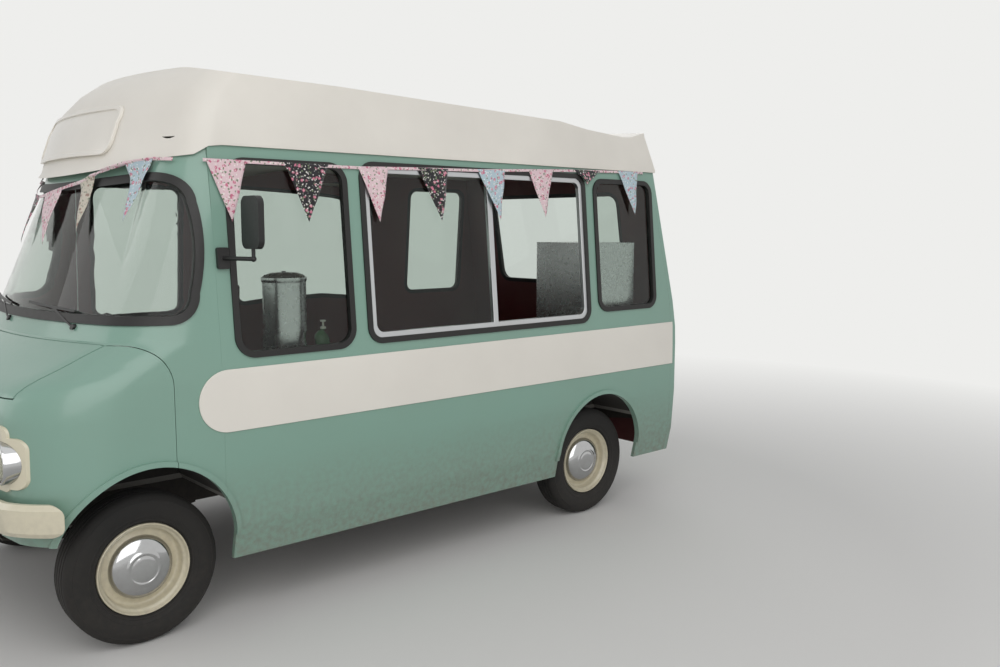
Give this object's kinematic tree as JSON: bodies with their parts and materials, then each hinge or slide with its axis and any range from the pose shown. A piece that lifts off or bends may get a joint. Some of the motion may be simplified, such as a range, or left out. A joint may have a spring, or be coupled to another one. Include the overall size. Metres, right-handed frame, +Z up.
{
  "type": "ice cream truck",
  "caption": "Vintage short-bonnet ice cream van with a coach-built body, sliding serving window, white roof moulding, bunting, opening bonnet and driver's door.",
  "frame": {"origin": "on the ground below the centre of the overall box", "axes": "front faces -Y, +X is the serving side (the vehicle's left), +Z is up"},
  "size_m": [2.37, 4.0468, 2.473],
  "materials": {
    "body_green": "soft gloss duck-egg green coach paint",
    "roof_white": "warm white gel-coated moulding",
    "band_white": "warm white gloss panel, blank",
    "sign_white": "warm white blank name board with a raised rim",
    "cream_paint": "cream gloss paint",
    "wheel_cream": "cream painted pressed steel",
    "chrome": "polished chrome",
    "glass": "clear safety glass",
    "rubber": "black glazing rubber",
    "aluminium": "bright anodised sliding window section",
    "chassis_black": "black chassis paint",
    "floor_vinyl": "grey floor covering",
    "lamp_glass": "ribbed lamp glass",
    "lamp_red": "red and amber lamp plastic",
    "plate_blank": "blank plate",
    "black_plastic": "black moulded plastic",
    "bunting_cotton": "small-flowered cotton",
    "seat_vinyl": "black vinyl",
    "steel": "brushed stainless steel",
    "engine_iron": "cast iron",
    "exhaust_steel": "dull aluminised steel",
    "tyre": "black tyre"
  },
  "bodies": {
    "body": {"chassis_frame": "chassis_black", "outriggers": "chassis_black", "floor": "floor_vinyl", "bulkhead": "black_plastic", "wheel_boxes": "chassis_black", "front_wings": "body_green", "nose_panel": "body_green", "cab_front": "body_green", "side_panel_left": "body_green", "side_panel_right": "body_green", "rear_panel": "body_green", "roof": "roof_white", "sign_board": "sign_white", "side_bands": "band_white", "windscreen": "glass", "windscreen_seal": "rubber", "window_glass": "glass", "window_seals": "rubber", "serving_frame": "aluminium", "grille": "cream_paint", "headlamp_bezels": "cream_paint", "headlamps": "lamp_glass", "rear_lamps": "lamp_red", "number_plates": "plate_blank", "front_bumper": "cream_paint", "rear_bumper": "cream_paint", "wipers": "black_plastic", "door_mirrors": "black_plastic", "bunting": "bunting_cotton", "dashboard": "black_plastic", "steering_wheel": "black_plastic", "driver_seat": "seat_vinyl", "serving_counter": "steel", "ice_cream_machine": "steel", "steel_urn": "steel", "front_axle": "chassis_black", "rear_axle": "chassis_black", "leaf_springs": "chassis_black", "engine_block": "engine_iron", "exhaust": "exhaust_steel", "fuel_tank": "chassis_black"},
    "bonnet": {"bonnet": "body_green"},
    "driver_door": {"driver_door": "body_green", "door_band": "band_white", "door_seal": "rubber", "door_glass": "glass"},
    "knuckle_left": {"knuckle_left": "chassis_black"},
    "knuckle_right": {"knuckle_right": "chassis_black"},
    "wheel_fl": {"tyre_fl": "tyre", "wheel_fl": "wheel_cream", "hub_cap_fl": "chrome"},
    "wheel_fr": {"tyre_fr": "tyre", "wheel_fr": "wheel_cream", "hub_cap_fr": "chrome"},
    "wheel_rl": {"tyre_rl": "tyre", "wheel_rl": "wheel_cream", "hub_cap_rl": "chrome"},
    "wheel_rr": {"tyre_rr": "tyre", "wheel_rr": "wheel_cream", "hub_cap_rr": "chrome"}
  },
  "joints": [
    {"name": "bonnet_hinge", "type": "hinge", "parent": "body", "child": "bonnet", "pos_m": [0, -1.5215, 1.275], "axis": [-1, 0, 0], "range_deg": [0, 28]},
    {"name": "driver_door_hinge", "type": "hinge", "parent": "body", "child": "driver_door", "pos_m": [-0.997, -1.0815, 1.3], "axis": [0, 0, 1], "range_deg": [0, 65]},
    {"name": "steer_left", "type": "hinge", "parent": "body", "child": "knuckle_left", "pos_m": [0.655, -1.4275, 0.32], "axis": [0, 0, 1], "range_deg": [-32, 32]},
    {"name": "steer_right", "type": "hinge", "parent": "body", "child": "knuckle_right", "pos_m": [-0.655, -1.4275, 0.32], "axis": [0, 0, 1], "range_deg": [-32, 32]},
    {"name": "spin_fl", "type": "hinge", "parent": "knuckle_left", "child": "wheel_fl", "pos_m": [0.79, -1.4275, 0.32], "axis": [1, 0, 0], "continuous": true},
    {"name": "spin_fr", "type": "hinge", "parent": "knuckle_right", "child": "wheel_fr", "pos_m": [-0.79, -1.4275, 0.32], "axis": [1, 0, 0], "continuous": true},
    {"name": "spin_rl", "type": "hinge", "parent": "body", "child": "wheel_rl", "pos_m": [0.79, 1.2645, 0.32], "axis": [1, 0, 0], "continuous": true},
    {"name": "spin_rr", "type": "hinge", "parent": "body", "child": "wheel_rr", "pos_m": [-0.79, 1.2645, 0.32], "axis": [1, 0, 0], "continuous": true}
  ],
  "couplings": [
    {"joint": "steer_right", "follows": "steer_left", "ratio": 1}
  ]
}
